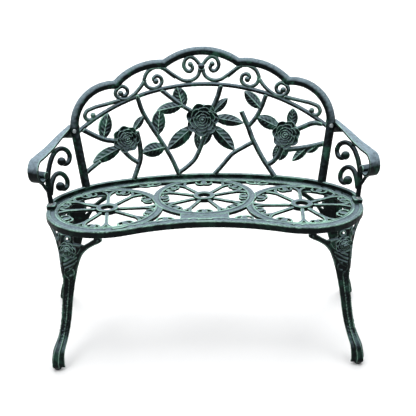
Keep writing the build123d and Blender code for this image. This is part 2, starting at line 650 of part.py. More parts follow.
# A cap bolt through each hoop upright and the strap's lug behind it, with a nut at the back.
bolt_axis = Plane(origin=BOLT_AT, x_dir=(1, 0, 0), z_dir=(0, 1, 0))
lug_back = HOOP_RADIUS + LUG
arm_hole = bolt_axis * Cylinder(4.3, 80)
arm_head = Pos(0, 0, -HOOP_RADIUS - 1.5) * Cylinder(6.5, 7)
arm_head = fillet(arm_head.edges().sort_by(Axis.Z)[0], 3.5)
arm_shank = Pos(0, 0, -HOOP_RADIUS) * extrude(Circle(4), HOOP_RADIUS + lug_back + 8)
arm_bolt = biggest(bolt_axis * (arm_head + arm_shank) - (parts["back_hoop"] - arm_hole))
arm_nut = bolt_axis * Pos(0, 0, lug_back) * extrude(RegularPolygon(7.5, 6) - Circle(4), 6.5)

parts["foot_glides"] = Compound(both_sides(glides))
parts["leg_bolts"] = Compound(both_sides(leg_bolts))
parts["arm_foot_bolts"] = Compound(both_sides(foot_bolts))
parts["arm_foot_nuts"] = Compound(both_sides(foot_nuts))
parts["arm_foot_washers"] = Compound(both_sides(foot_washers))
parts["arm_top_bolts"] = Compound(both_sides([arm_bolt]))
parts["arm_top_nuts"] = Compound(both_sides([arm_nut]))
parts["rail_screws"] = Compound(both_sides(rail_screws))
drilled("seat_rim", both_sides(leg_holes + foot_holes + rail_holes + recesses))
drilled("base_rail", both_sides(foot_holes + rail_holes))
drilled("back_hoop", both_sides([arm_hole]))
drilled("back_arch", both_sides([arm_bolt, arm_nut]))
for side in ("left", "right"):
    drilled("arm_strap_" + side, both_sides([arm_hole]))


os.makedirs("parts", exist_ok=True)
for name, shape in parts.items():
    export_step(shape, "parts/" + name + ".step")
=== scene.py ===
"""Looks of the garden bench: cast metal with a near-black green patina, a painted slate highlight on
faces that look up, mint worn edges laid more where they face up (real wear and painted highlight)
and painted shade in inner corners.

Every casting starts from the shape of its CAD piece and gains the detail that the CAD piece leaves out:
beads, petals, leaf veins, grooves and pebbled faces. It is then melted into one soft-edged cast skin.
Frame: metres, +Z up, front of the bench towards -Y. Places on the back are given in millimetres.
"""
from math import atan2, copysign, cos, hypot, pi, radians, sin, sqrt, tan
import bpy
import numpy as np
from mathutils import Matrix, Vector, noise


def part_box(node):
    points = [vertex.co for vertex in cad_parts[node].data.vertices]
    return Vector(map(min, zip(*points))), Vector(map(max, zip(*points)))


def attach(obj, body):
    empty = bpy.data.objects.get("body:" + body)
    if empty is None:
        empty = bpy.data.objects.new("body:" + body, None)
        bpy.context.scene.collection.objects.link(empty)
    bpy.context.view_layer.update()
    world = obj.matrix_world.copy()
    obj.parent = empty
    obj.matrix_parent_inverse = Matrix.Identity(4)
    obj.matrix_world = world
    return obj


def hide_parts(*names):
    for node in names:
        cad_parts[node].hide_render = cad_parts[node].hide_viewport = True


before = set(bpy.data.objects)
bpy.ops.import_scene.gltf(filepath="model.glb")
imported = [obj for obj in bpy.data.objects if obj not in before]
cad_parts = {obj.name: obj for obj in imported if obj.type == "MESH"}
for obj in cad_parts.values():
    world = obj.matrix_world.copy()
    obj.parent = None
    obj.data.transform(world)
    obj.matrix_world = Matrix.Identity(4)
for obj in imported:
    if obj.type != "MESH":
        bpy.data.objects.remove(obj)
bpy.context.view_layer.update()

# ---- dimensions, in metres ----------------------------------------------------------------
MM = 0.001
HUB_Y = -57.4 * MM           # line through the two outer seat rosettes
RIM_LOW, RIM_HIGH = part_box("seat_rim")
SEAT_TOP = RIM_HIGH.z
BACK_FOOT = 241 * MM         # back surface above the middle of the seat's back edge
BACK_FOOT_Z = 435 * MM
BACK_LEAN = tan(radians(11))
BACK_BOW = 785 * MM
SIDE_HUB = (289 * MM, -3 * MM)
SIDE_HOLE = 143 * MM
CENTRE_HUB = (0.0, 82 * MM)
CENTRE_HOLE = 134.5 * MM
RING_WIDTH = 23 * MM
LOBE = (287 * MM, -4 * MM)   # axis that a leg's corner is measured from
FRONT_LEG_ANGLE = radians(-52)
REAR_LEG_ANGLE = radians(46)
REAR_RAKE = 55 * MM
LEG_TOP = 415 * MM
KNEE_REACH = 189 * MM
KNEE_ASIDE = 20 * MM         # a leg's rose sits this far from the corner, and is turned this way
KNEE_TURN = radians(24)
KNEE_WING = radians(62)      # angle between the leg's centre plane and the wing behind the rose
KNEE_HEIGHT = 364 * MM
KNEE_ROSE = 24 * MM

LOW = np.full(3, np.inf)
HIGH = np.full(3, -np.inf)
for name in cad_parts:
    corner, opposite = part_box(name)
    LOW = np.minimum(LOW, np.array(corner))
    HIGH = np.maximum(HIGH, np.array(opposite))


# ---- places -------------------------------------------------------------------------------
def back_normal(x):
    """Unit normal of the bowed back at x metres, towards the sitter."""
    return Vector((-x / sqrt(BACK_BOW ** 2 - x ** 2), -1, BACK_LEAN)).normalized()


def on_back(x, z, lift=0.0):
    """Point of the back surface, x and z in millimetres, raised towards the sitter."""
    x, z, lift = x * MM, z * MM, lift * MM
    bow = BACK_BOW - sqrt(BACK_BOW ** 2 - x ** 2)
    y = HUB_Y + BACK_FOOT + (z - BACK_FOOT_Z) * BACK_LEAN - bow
    return Vector((x, y, z)) + back_normal(x) * lift


def frame_at(origin, x_axis, z_axis):
    """Matrix of a place whose local X and Z run along the two directions."""
    z_axis = z_axis.normalized()
    y_axis = z_axis.cross(x_axis).normalized()
    x_axis = y_axis.cross(z_axis)
    matrix = Matrix((x_axis, y_axis, z_axis)).transposed().to_4x4()
    matrix.translation = origin
    return matrix


# ---- shapes: each is (vertices, faces) ----------------------------------------------------
def joined(shapes):
    points = []
    faces = []
    for corners, loops in shapes:
        base = len(points)
        points.extend(corners)
        faces.extend([tuple(base + index for index in loop) for loop in loops])
    return points, faces


def placed(shape, matrix):
    return [matrix @ Vector(point) for point in shape[0]], shape[1]


def node_shape(name):
    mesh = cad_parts[name].data
    return [vertex.co.copy() for vertex in mesh.vertices], [tuple(face.vertices) for face in mesh.polygons]


def ball(centre, radius, flat=1.0, segments=16):
    """Ball, squashed along Z by flat."""
    points = [Vector((0, 0, -flat))]
    faces = []
    rings = segments // 2
    for ring in range(1, rings):
        a = pi * ring / rings
        for step in range(segments):
            turn = 2 * pi * step / segments
            points.append(Vector((sin(a) * cos(turn), sin(a) * sin(turn), -cos(a) * flat)))
    points.append(Vector((0, 0, flat)))
    last = len(points) - 1
    for step in range(segments):
        after = (step + 1) % segments
        faces.append((0, 1 + after, 1 + step))
        faces.append((last, last - segments + step, last - segments + after))
        for ring in range(rings - 2):
            a = 1 + ring * segments
            faces.append((a + step, a + after, a + segments + after, a + segments + step))
    return [Vector(centre) + point * radius for point in points], faces


def softened(points, rounds=3, closed=False):
    """Corner-cut route, which touches the middle of each of its spans."""
    points = [Vector(point) for point in points]
    for _ in range(rounds):
        cut = [] if closed else [points[0]]
        spans = list(zip(points, points[1:] + points[:1])) if closed else list(zip(points, points[1:]))
        for a, b in spans:
            cut.append(a.lerp(b, 0.25))
            cut.append(a.lerp(b, 0.75))
        points = cut if closed else cut + [points[-1]]
    return points


def tube(points, radius, closed=False, sides=10, end_radius=None):
    """Round bar along a route, tapering to end_radius."""
    count = len(points)
    end_radius = radius if end_radius is None else end_radius
    corners = []
    faces = []
    side = None
    for index, point in enumerate(points):
        if closed:
            ahead = points[(index + 1) % count] - points[index - 1]
        else:
            ahead = points[min(index + 1, count - 1)] - points[max(index - 1, 0)]
        ahead.normalize()
        if side is None:
            side = ahead.orthogonal().normalized()
        side = (side - ahead * side.dot(ahead)).normalized()
        other = ahead.cross(side)
        reach = radius + (end_radius - radius) * index / (count - 1)
        for step in range(sides):
            a = 2 * pi * step / sides
            corners.append(point + (side * cos(a) + other * sin(a)) * reach)
    for index in range(count if closed else count - 1):
        here = index * sides
        there = (index + 1) % count * sides
        for step in range(sides):
            after = (step + 1) % sides
            faces.append((here + step, here + after, there + after, there + step))
    if not closed:
        faces.append(tuple(reversed(range(sides))))
        faces.append(tuple(range((count - 1) * sides, count * sides)))
    return corners, faces


def relief_sheet(across, along, place, base=-0.003):
    """Closed slab whose upper face is a grid of points from place(u, v), u and v from 0 to 1."""
    corners = []
    for i in range(along + 1):
        for j in range(across + 1):
            corners.append(Vector(place(i / along, j / across)))
    count = len(corners)
    for point in corners[:count]:
        corners.append(Vector((point.x, point.y, base)))
    row = across + 1
    faces = []
    for i in range(along):
        for j in range(across):
            a = i * row + j
            faces.append((a, a + row, a + row + 1, a + 1))
            faces.append((count + a, count + a + 1, count + a + row + 1, count + a + row))
    rim = list(range(across + 1))
    rim += [i * row + across for i in range(1, along + 1)]
    rim += [along * row + j for j in range(across - 1, -1, -1)]
    rim += [i * row for i in range(along - 1, 0, -1)]
    for a, b in zip(rim, rim[1:] + rim[:1]):
        faces.append((a, b, count + b, count + a))
    return corners, faces


def leaf(base, tip, width, lift=1.2):
    """Serrated leaf on the back with a raised midrib, chevron veins and a thin raised margin."""
    start = on_back(*base)
    end = on_back(*tip)
    length = (end - start).length
    middle_x = (base[0] + tip[0]) / 2 * MM
    half = width / 2 * MM

    def place(u, v):
        aside = 2 * v - 1
        swell = sin(pi * u ** 0.9) ** 0.75 if 0 < u < 1 else 0.0
        teeth = 1 + 0.03 * cos(2 * pi * 6 * u)
        reach = half * max(swell, 0.03) * teeth
        vein = abs(sin(pi * 6 * (u - 0.2 * abs(aside))))
        height = 0.0032 * (1 - aside ** 2) - 0.0010 + 0.0013 * (1 - vein) ** 1.5 * (1 - abs(aside) ** 3)
        height += 0.0034 * max(0.0, 1 - abs(aside) * half / 0.0017)
        height += 0.0013 * max(0.0, (abs(aside) - 0.82) / 0.18)
        height += 0.004 * (u - 0.5) ** 2
        return (u * length, aside * reach, height)

    shape = relief_sheet(26, 44, place, -0.0026)
    matrix = frame_at(start + back_normal(middle_x) * lift * MM, end - start, back_normal(middle_x))
    return placed(shape, matrix)


def rose(matrix, radius, height, turns=0.0):
    """Open rose facing local +Z: rings of lapping petals that climb to a tight bud."""
    rings = ((1.06, 7, 0.0), (0.80, 6, 0.35), (0.57, 5, 0.9), (0.37, 4, 0.2), (0.2, 3, 0.6))
    shapes = []
    for level, (scale, petals, phase) in enumerate(rings):
        outer = radius * scale
        inner = radius * (rings[level + 1][0] if level + 1 < len(rings) else 0.0)
        rise = height * max(0.0, 1 - scale) ** 0.8
        for petal in range(petals):
            heading = 2 * pi * (petal + phase) / petals + turns
            spread = pi / petals * 1.32

            def place(u, v):
                aside = 2 * v - 1
                a = heading + spread * aside
                lobe = sqrt(max(0.0, 1 - 0.55 * aside ** 4)) * (1 + 0.035 * cos(5 * aside + level))
                reach = inner * 0.72 + (outer * lobe - inner * 0.72) * u
                cup = 0.10 * radius * u ** 3 + 0.07 * radius * (aside + 1) * 0.5 * u
                lip = 0.045 * radius * max(0.0, (u - 0.8) / 0.2)
                dip = 0.05 * radius * sin(pi * u)
                return (reach * cos(a), reach * sin(a), rise + cup + lip - dip)

            shapes.append(placed(relief_sheet(10, 8, place, rise - 0.16 * radius), matrix))
    shapes.append(placed(ball((0, 0, height * 0.86), radius * 0.11, 1.3), matrix))
    return joined(shapes)


# ---- melting a casting together -----------------------------------------------------------
def melted(name, shape, voxel, soften):
    """One watertight skin over the shapes, with soft cast edges."""
    raw = bpy.data.meshes.new(name + "_raw")
    raw.from_pydata([tuple(point) for point in shape[0]], [], shape[1])
    holder = bpy.data.objects.new(name + "_raw", raw)
    bpy.context.scene.collection.objects.link(holder)
    skin = holder.modifiers.new("skin", "REMESH")
    skin.mode = "VOXEL"
    skin.voxel_size = voxel
    skin.use_smooth_shade = True
    soft = holder.modifiers.new("soft", "SMOOTH")
    soft.factor = 0.5
    soft.iterations = soften
    graph = bpy.context.evaluated_depsgraph_get()
    mesh = bpy.data.meshes.new_from_object(holder.evaluated_get(graph))
    bpy.data.objects.remove(holder)
    bpy.data.meshes.remove(raw)
    mesh.name = name
    return mesh


def grain(points, size, seed):
    """Smooth random value from -1 to 1 at each point, varying over about size metres."""
    shift = Vector((seed, 2 * seed, 3 * seed))
    return np.array([noise.noise(Vector(point) / size + shift) for point in points])


def carve(mesh, relief):
    """Move the skin along its normals by relief(points, normals), and keep it in the CAD box."""
    count = len(mesh.vertices)
    points = np.empty(count * 3)
    mesh.vertices.foreach_get("co", points)
    points = points.reshape(-1, 3)
    normals = np.empty(count * 3)
    mesh.vertex_normals.foreach_get("vector", normals)
    normals = normals.reshape(-1, 3)
    points = points + normals * relief(points, normals)[:, None]
    points = np.clip(points, LOW, HIGH)
    mesh.vertices.foreach_set("co", points.ravel())
    mesh.update()


def sand_cast(points, normals):
    """Faint unevenness of a sand casting."""
    return 0.00035 * grain(points, 0.011, 3.0)


def step_up(value, low, high):
    t = np.clip((value - low) / (high - low), 0, 1)
    return t * t * (3 - 2 * t)


def ridge(distance, half_width):
    """Rounded ridge, 1 on its line and 0 beyond half_width."""
    return np.sqrt(np.clip(1 - (distance / half_width) ** 2, 0, 1))


# ---- finishes, painted highlights and painted shade ---------------------------------------
NEAR_BLACK = (0.0035, 0.0055, 0.0060)   # paint
HOLLOW_SHADE = (0.003, 0.005, 0.005)          # painted shade in inner corners
GREEN = (0.020, 0.070, 0.046)           # patches that show through the paint
# Painted highlights: slate laid on faces that look up, a paler slate for the scrolls, roses and leaves and
# a lighter one for the arm straps.
UP_FACE_HIGHLIGHT = (0.170, 0.232, 0.268)           # painted highlight on faces that look up
PALE_UP_FACE_HIGHLIGHT = (0.200, 0.275, 0.310)
ARM_UP_FACE_HIGHLIGHT = (0.215, 0.285, 0.335)
MINT_WEAR_SHEEN = (0.380, 0.660, 0.520)            # worn edges, laid more on edges that face up: real wear and painted highlight
POINTINESS = 7                          # output of the Geometry node


def link(tree, source, output, target, socket):
    tree.links.new(source.outputs[output], target.inputs[socket])


def noise_node(tree, coordinates, scale, detail=3.0, rough=0.6):
    node = tree.nodes.new("ShaderNodeTexNoise")
    node.inputs["Scale"].default_value = scale
    node.inputs["Detail"].default_value = detail
    node.inputs["Roughness"].default_value = rough
    link(tree, coordinates, "Object", node, "Vector")
    return node


def span_node(tree, source, output, low, high, start=0.0, end=1.0):
    node = tree.nodes.new("ShaderNodeMapRange")
    node.interpolation_type = "SMOOTHSTEP"
    node.inputs["From Min"].default_value = low
    node.inputs["From Max"].default_value = high
    node.inputs["To Min"].default_value = start
    node.inputs["To Max"].default_value = end
    link(tree, source, output, node, "Value")
    return node


def times_node(tree, a, b):
    node = tree.nodes.new("ShaderNodeMath")
    node.operation = "MULTIPLY"
    link(tree, a, 0, node, 0)
    link(tree, b, 0, node, 1)
    return node


def blend_node(tree, factor, under, colour):
    node = tree.nodes.new("ShaderNodeMix")
    node.data_type = "RGBA"
    link(tree, factor, 0, node, "Factor")
    tree.links.new(under, node.inputs["A"])
    node.inputs["B"].default_value = (*colour, 1)
    return node.outputs["Result"]


def patina(name, top_from, top_amount, edge_amount, green_amount, side_edges, slate=UP_FACE_HIGHLIGHT, edge_from=0.512):
    """Cast metal painted near-black green, a painted slate highlight where it faces up, mint where it
    is rubbed and painted shade in its inner corners.

    top_from is the upward part of the normal where the painted highlight begins. The mint is real
    wear, laid more on edges that face up as painted highlight: side_edges is how much of the mint
    is left on edges that face sideways, and edge_from is the pointiness where it begins.
    """
    material = bpy.data.materials.new(name)
    material.use_nodes = True
    tree = material.node_tree
    shader = tree.nodes["Principled BSDF"]
    coordinates = tree.nodes.new("ShaderNodeTexCoord")
    geometry = tree.nodes.new("ShaderNodeNewGeometry")
    split = tree.nodes.new("ShaderNodeSeparateXYZ")
    link(tree, geometry, "Normal", split, 0)
    broad = noise_node(tree, coordinates, 26.0, 3.0)
    fine = noise_node(tree, coordinates, 130.0, 4.0)

    base = tree.nodes.new("ShaderNodeRGB")
    base.outputs[0].default_value = (*NEAR_BLACK, 1)
    green = span_node(tree, broad, 0, 0.50, 0.68, 0.0, green_amount)
    colour = blend_node(tree, green, base.outputs[0], GREEN)
    # Painted highlight: slate laid where the normal points up, broken up by noise.
    facing = span_node(tree, split, 2, top_from, top_from + 0.45, 0.0, top_amount)
    patchy = span_node(tree, fine, 0, 0.30, 0.62, 0.55, 1.0)
    top = times_node(tree, facing, patchy)
    colour = blend_node(tree, top, colour, slate)
    worn = span_node(tree, geometry, POINTINESS, edge_from, edge_from + 0.045, 0.0, edge_amount)
    rubbed = span_node(tree, broad, 0, 0.36, 0.60, 0.25, 1.0)
    # Mint on rubbed edges is real wear; laying more of it on edges that face up is painted highlight.
    upper = span_node(tree, split, 2, -0.05, 0.50, side_edges, 1.0)
    edge = times_node(tree, times_node(tree, worn, rubbed), upper)
    colour = blend_node(tree, edge, colour, MINT_WEAR_SHEEN)
    # Painted shade: inner corners, found by low pointiness, are darkened.
    hollow_shade = span_node(tree, geometry, POINTINESS, 0.40, 0.49, 0.85, 0.0)
    colour = blend_node(tree, hollow_shade, colour, HOLLOW_SHADE)
    tree.links.new(colour, shader.inputs["Base Color"])
    rough = span_node(tree, fine, 0, 0.3, 0.7, 0.34, 0.52)
    link(tree, rough, 0, shader, "Roughness")
    shader.inputs["Metallic"].default_value = 0.0
    shader.inputs["Specular IOR Level"].default_value = 0.05
    bump = tree.nodes.new("ShaderNodeBump")
    bump.inputs["Strength"].default_value = 0.25
    bump.inputs["Distance"].default_value = 0.0004
    link(tree, fine, 0, bump, "Height")
    link(tree, bump, 0, shader, "Normal")
    return material


def plain_metal(name, colour, metallic, low, high):
    """Bolt steel or foot plastic, with a roughness that drifts a little."""
    material = bpy.data.materials.new(name)
    material.use_nodes = True
    tree = material.node_tree
    shader = tree.nodes["Principled BSDF"]
    coordinates = tree.nodes.new("ShaderNodeTexCoord")
    drift = noise_node(tree, coordinates, 180.0, 3.0)
    rough = span_node(tree, drift, 0, 0.3, 0.7, low, high)
    link(tree, rough, 0, shader, "Roughness")
    shader.inputs["Base Color"].default_value = (*colour, 1)
    shader.inputs["Metallic"].default_value = metallic
    return material


# Each of these lays painted highlight in slate and mint, and painted shade in inner corners, over the
# patina; they differ in how much and from which slope.
SEAT_PATINA_SHEEN = patina("seat_patina_sheen", 0.50, 0.90, 1.0, 0.2, 0.02, edge_from=0.508)
BACK_PATINA_SHEEN = patina("back_patina_sheen", 0.10, 0.90, 0.9, 1.0, 0.25)
SCROLL_PATINA_SHEEN = patina("scroll_patina_sheen", 0.12, 0.85, 1.0, 0.9, 0.4, PALE_UP_FACE_HIGHLIGHT, 0.506)
STRAP_PATINA_SHEEN = patina("strap_patina_sheen", 0.02, 0.95, 1.0, 0.6, 0.3, ARM_UP_FACE_HIGHLIGHT)
ARM_PATINA_SHEEN = patina("arm_patina_sheen", 0.35, 0.4, 0.5, 0.5, 0.1)
LEG_PATINA_SHEEN = patina("leg_patina_sheen", 0.22, 0.8, 0.6, 0.6, 0.4)
LEG_ROSE_PATINA_SHEEN = patina("leg_rose_patina_sheen", 0.10, 0.8, 1.0, 0.6, 0.4)
BOLT_STEEL = plain_metal("bolt_steel", (0.30, 0.33, 0.34), 0.9, 0.24, 0.36)
FOOT_PLASTIC = plain_metal("foot_plastic", (0.012, 0.013, 0.013), 0.0, 0.45, 0.6)


def finished(name, mesh, material, nodes):
    mesh.materials.clear()
    mesh.materials.append(material)
    mesh.shade_smooth()
    piece = bpy.data.objects.new(name, mesh)
    bpy.context.scene.collection.objects.link(piece)
    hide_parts(*nodes)
    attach(piece, "root")
    return piece


def casting(node, extras, material, voxel=0.0015, soften=2, relief=sand_cast, swell=0.0):
    """The cast piece that stands for one CAD node, its skin raised all round by swell."""
    shape = joined([node_shape(node)] + list(extras))
    mesh = melted(node + "_cast", shape, voxel, soften)
    carve(mesh, lambda points, normals: relief(points, normals) + swell)
    return finished(node + "_cast", mesh, material, [node])


# ---- seat ---------------------------------------------------------------------------------
def ring_relief(hub, hole):
    """Groove along the middle of a rosette's band, between two beads."""
    def relief(points, normals):
        reach = np.hypot(points[:, 0] - hub[0], points[:, 1] - HUB_Y - hub[1]) - hole
        up = step_up(normals[:, 2], 0.5, 0.9)
        groove = ridge(reach - RING_WIDTH * 0.42, 0.004)
        bead = ridge(reach - 0.0035, 0.0035)
        return sand_cast(points, normals) + up * (0.0014 * bead - 0.0018 * groove)
    return relief


def hub_relief(hub):
    """Draft on a hub's outer wall between its spokes: its foot keeps its size and its top is slimmer."""
    def relief(points, normals):
        x = points[:, 0] - hub[0]
        y = points[:, 1] - HUB_Y - hub[1]
        reach = np.hypot(x, y) + 1e-9
        outward = np.clip((x * normals[:, 0] + y * normals[:, 1]) / reach, 0, 1)
        wall = step_up(reach, 0.029, 0.033) * (1 - step_up(reach, 0.036, 0.039))
        rise = np.clip((points[:, 2] - RIM_LOW.z) / (SEAT_TOP - RIM_LOW.z), 0, 1)
        return sand_cast(points, normals) - 0.0045 * rise * outward * wall
    return relief


def rim_edge():
    """Outline of the seat rim in plan, read from the foot of the CAD rim's outer wall."""
    points = [point for point in node_shape("seat_rim")[0] if point.z < RIM_LOW.z + 0.0001]
    bins = {}
    for point in points:
        heading = round(atan2(point.y - HUB_Y - 0.06, point.x) * 180)
        reach = hypot(point.x, point.y - HUB_Y - 0.06)
        if reach > bins.get(heading, (0, None))[0]:
            bins[heading] = (reach, point)
    return [bins[key][1] for key in sorted(bins)]


def rim_relief(points, normals):
    """Inside the outer bead: a groove, and two fine ridges along the inner band."""
    depth = rim_depth(points)
    up = step_up(normals[:, 2], 0.5, 0.9)
    lines = 0.0012 * ridge(depth - 0.0215, 0.0022) + 0.0012 * ridge(depth - 0.0300, 0.0022)
    grooves = 0.0018 * ridge(depth - 0.0155, 0.003)
    bead = 0.0006 * ridge(depth - 0.0065, 0.006)
    return sand_cast(points, normals) + up * (lines + bead - grooves)


RIM_WALL = np.array([tuple(point)[:2] for point in rim_edge()])


def rim_depth(points):
    """Plan distance in from the rim's outer edge."""
    depth = np.full(len(points), np.inf)
    ends = np.roll(RIM_WALL, -1, axis=0)
    plan = points[:, :2]
    for a, b in zip(RIM_WALL, ends):
        span = b - a
        size = float(span @ span)
        if size < 1e-12 or size > 0.0025:
            continue
        t = np.clip(((plan - a) @ span) / size, 0, 1)
        depth = np.minimum(depth, np.hypot(*(plan - a - t[:, None] * span).T))
    return depth


def sprig_tips(hub, hole, spokes, way=1):
    """Round ends on the three lobes of the sprig in each gap between two spokes."""
    tips = []
    for number, angle in enumerate(spokes):
        gap = (spokes[(number + 1) % len(spokes)] - angle) % 360
        heading = radians(angle + gap / 2)
        size = (13 + 0.14 * gap) * MM
        reach = hole + 4 * MM
        for out, aside, radius in ((1.15, 0.0, 4.4), (0.62, 1.1, 4.0), (0.62, -1.1, 4.0)):
            ahead = reach - out * size
            x = hub[0] + ahead * cos(heading) - aside * size * sin(heading)
            y = hub[1] + ahead * sin(heading) + aside * size * cos(heading)
            tips.append(ball((way * x, HUB_Y + y, SEAT_TOP - 6 * MM), radius * MM))
    return tips


SIDE_SPOKES = (30, 85, 123, 178, 216, 264, 296, 356)
CENTRE_SPOKES = (21, 56, 124, 159, 209, 246, 294, 331)

casting("seat_rim", [], SEAT_PATINA_SHEEN, 0.0020, 2, rim_relief)
for side, way in (("left", -1), ("right", 1)):
    hub = (way * SIDE_HUB[0], SIDE_HUB[1])
    tips = sprig_tips(SIDE_HUB, SIDE_HOLE, SIDE_SPOKES, way)
    casting("seat_ring_" + side, tips, SEAT_PATINA_SHEEN, 0.0014, 1, ring_relief(hub, SIDE_HOLE))
tips = sprig_tips(CENTRE_HUB, CENTRE_HOLE, CENTRE_SPOKES)
casting("seat_ring_centre", tips, SEAT_PATINA_SHEEN, 0.0014, 1, ring_relief(CENTRE_HUB, CENTRE_HOLE))
for side, hub in (("left", (-SIDE_HUB[0], SIDE_HUB[1])), ("right", SIDE_HUB), ("centre", CENTRE_HUB)):
    casting("seat_rosette_" + side, [], SEAT_PATINA_SHEEN, 0.0013, 2, hub_relief(hub), 0.0004)
for node in ("seat_front_web", "seat_front_sprig_left", "seat_front_sprig_right", "seat_back_sprig_left",
             "seat_back_sprig_right"):
    casting(node, [], SEAT_PATINA_SHEEN, 0.0013, 2, swell=0.0005)

# ---- back ---------------------------------------------------------------------------------
for node in ("base_rail", "back_hoop", "back_arch"):
    casting(node, [], BACK_PATINA_SHEEN, 0.0016, 2)
casting("crest_ball", [], BACK_PATINA_SHEEN, 0.0010, 1)
for side, way in (("left", -1), ("right", 1)):
    for node in ("crest_scroll_", "large_scroll_", "small_scroll_", "hook_scroll_"):
        casting(node + side, [], SCROLL_PATINA_SHEEN, 0.0011, 2, swell=0.0011)
    route = [on_back(way * x, z) for x, z in ((84, 752), (102, 766), (118, 779), (132, 786))]
    join = tube(softened(route), 5.2 * MM)
    casting("crest_tail_" + side, [join], SCROLL_PATINA_SHEEN, 0.0011, 2, swell=0.0011)

ROSES = (
    ("rose_left", -247, 571, 40, [((-224, 596), (-188, 640), 26), ((-264, 548), (-352, 512), 41)]),
    ("rose_centre", 0, 617, 50, [
        ((-30, 597), (-118, 525), 46), ((-20, 585), (-16, 520), 22), ((30, 585), (0, 533), 24),
        ((30, 598), (104, 518), 46), ((36, 624), (134, 606), 38), ((34, 638), (84, 685), 30)]),
    ("rose_right", 268, 576, 42, [
        ((248, 596), (175, 628), 43), ((284, 598), (288, 660), 36), ((248, 550), (228, 494), 24),
        ((270, 550), (247, 492), 34)]),
)
for number, (node, x, z, radius, leaves) in enumerate(ROSES):
    place = frame_at(on_back(x, z, 4), Vector((1, 0, 0)), back_normal(x * MM))
    extras = [rose(place, radius * MM, radius * MM * 0.42, number)]
    extras += [leaf(*blade) for blade in leaves]
    casting(node, extras, SCROLL_PATINA_SHEEN, 0.0011, 1)

LEAVES = {
    "left_upper_spray": [((-318, 580), (-300, 658), 41)],
    "left_branch": [((-125, 535), (-198, 523), 46), ((-147, 576), (-138, 656), 43)],
    "centre_left_spray": [((-62, 657), (-80, 722), 46), ((-66, 664), (-148, 651), 36)],
    "right_branch": [((188, 655), (138, 706), 36)],
    "right_lower_spray": [((333, 543), (287, 495), 26), ((365, 556), (332, 526), 22)],
}
for node in ("left_upper_spray", "left_lower_spray", "left_stub", "left_branch", "centre_left_spray",
             "centre_stem", "centre_right_spray", "right_branch", "right_upper_spray", "right_lower_spray",
             "right_lower_stem"):
    casting(node, [leaf(*blade) for blade in LEAVES.get(node, [])], SCROLL_PATINA_SHEEN, 0.0011, 1, swell=0.0012)

# ---- arms ---------------------------------------------------------------------------------
for side in ("left", "right"):
    casting("arm_strap_" + side, [], STRAP_PATINA_SHEEN, 0.0014, 2)
    casting("arm_scroll_" + side, [], ARM_PATINA_SHEEN, 0.0013, 2, swell=0.0005)


# ---- legs ---------------------------------------------------------------------------------
# Height, corner reach, wing length (millimetres) and wing angle (degrees) up a leg.
LEG_SECTIONS = np.array((
    (9, 264, 34, 45), (24, 267, 35, 45), (40, 263, 33, 45), (60, 256, 31, 45), (80, 243, 29, 45),
    (105, 230, 28, 45), (150, 216, 29, 45), (200, 206, 30, 45), (240, 198, 32, 46), (270, 194, 36, 48),
    (300, 193, 43, 51), (330, 193, 53, 54), (352, 192, 64, 57), (370, 190, 80, 60), (384, 188, 100, 63),
    (392, 186, 114, 65), (409, 184, 116, 66)))


def section_at(height, rake):
    """Corner reach, wing length and wing angle of a leg at heights in metres."""
    reach, wing, angle = (np.interp(height / MM, LEG_SECTIONS[:, 0], LEG_SECTIONS[:, column])
                          for column in (1, 2, 3))
    return reach * MM + rake * (1 - height / LEG_TOP), wing * MM, np.radians(angle)


def on_wing(heading, rake, way, turn, aside, height, lift=0.0):
    """Point on the outer face of one wing of a leg, aside from the corner, in millimetres."""
    reach, wing, angle = section_at(height * MM, rake)
    along = heading + turn * (pi - float(angle))
    out = along - turn * pi / 2
    x = LOBE[0] + float(reach) * cos(heading) + (aside * cos(along) + lift * cos(out)) * MM
    y = LOBE[1] + float(reach) * sin(heading) + (aside * sin(along) + lift * sin(out)) * MM
    return Vector((way * x, HUB_Y + y, height * MM))


SHANK_FOOT = (0.075, 0.110)    # heights between which the foot turns into the shank
SHANK_TOP = (0.275, 0.290)     # and the shank into the flared top
BORDER = 6.5 * MM              # smooth border up each edge of a wing
PEBBLE = 4.8 * MM


def leg_relief(heading, rake, way):
    """Raised borders up both wings, with pebbled panels and a rib between them on the shank."""
    turn = np.array([cos(heading), sin(heading)])

    def relief(points, normals):
        plan = np.stack([points[:, 0] * way - LOBE[0], points[:, 1] - HUB_Y - LOBE[1]], 1)
        height = points[:, 2]
        reach, wing, angle = section_at(height, rake)
        ahead = plan @ turn - reach
        aside = np.abs(plan @ np.array([-turn[1], turn[0]]))
        from_corner = np.hypot(ahead, aside)
        face = normals[:, :2] * np.array([way, 1])
        out = step_up(face @ turn, 0.25, 0.6)
        pebble = np.array([noise.noise(Vector(point) / PEBBLE) for point in points])
        below_top = 1 - step_up(height, *SHANK_TOP)
        shank = step_up(height, *SHANK_FOOT) * below_top
        panel = step_up(from_corner, 0.004, BORDER)
        panel *= 1 - step_up(from_corner, wing - 0.0095, wing - BORDER)
        recess = -0.0016 + 0.0014 * pebble
        rib = below_top * ridge(from_corner - wing * 0.5, 0.0026)
        upper = step_up(height, 0.288, 0.30) * (1 - step_up(height, 0.398, 0.404))
        edge = ridge(from_corner - (wing - 0.005), 0.0045)
        art = shank * panel * recess + 0.0026 * rib + 0.0022 * upper * edge
        return sand_cast(points, normals) + out * art
    return relief


